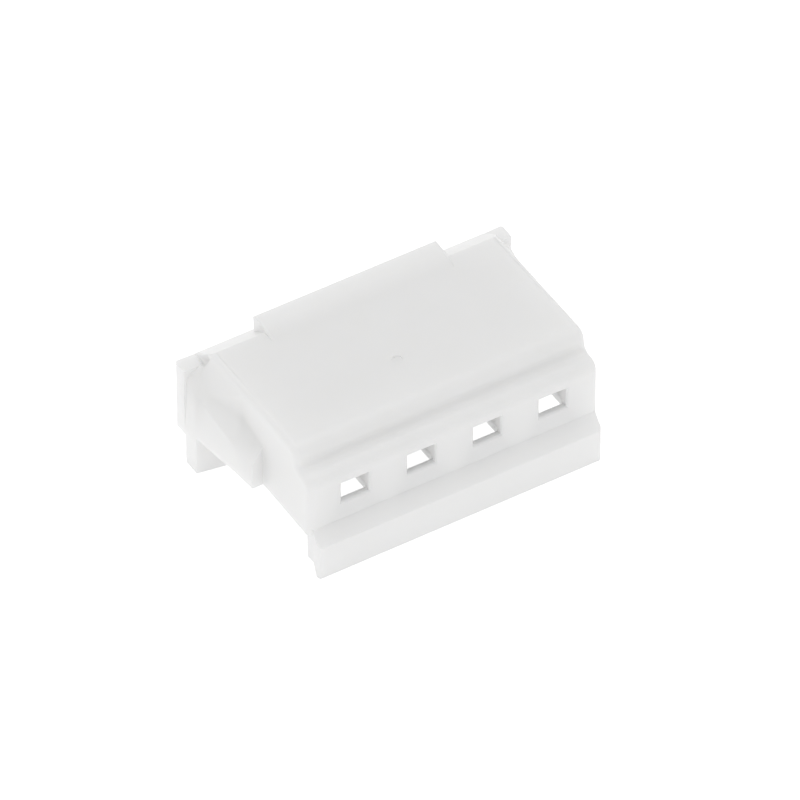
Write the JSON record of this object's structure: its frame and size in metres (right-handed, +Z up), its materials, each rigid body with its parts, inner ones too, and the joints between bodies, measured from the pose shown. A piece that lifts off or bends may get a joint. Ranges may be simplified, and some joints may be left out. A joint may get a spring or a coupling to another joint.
{
  "type": "wire to board connector housing",
  "caption": "Low-profile moulded crimp housing for a fine-pitch wire-to-board connector, with a raised top, side ears and a row of open wire entries.",
  "frame": {"origin": "middle of the footprint, on the surface that the housing rests on", "axes": "+X along the row of ways, +Y out of the mating end towards the header, +Z up through the raised top; the wires enter from -Y"},
  "size_m": [0.005, 0.003, 0.002],
  "materials": {
    "housing": "natural white nylon, fine satin as moulded"
  },
  "bodies": {
    "root": {"housing": "housing"}
  },
  "joints": []
}
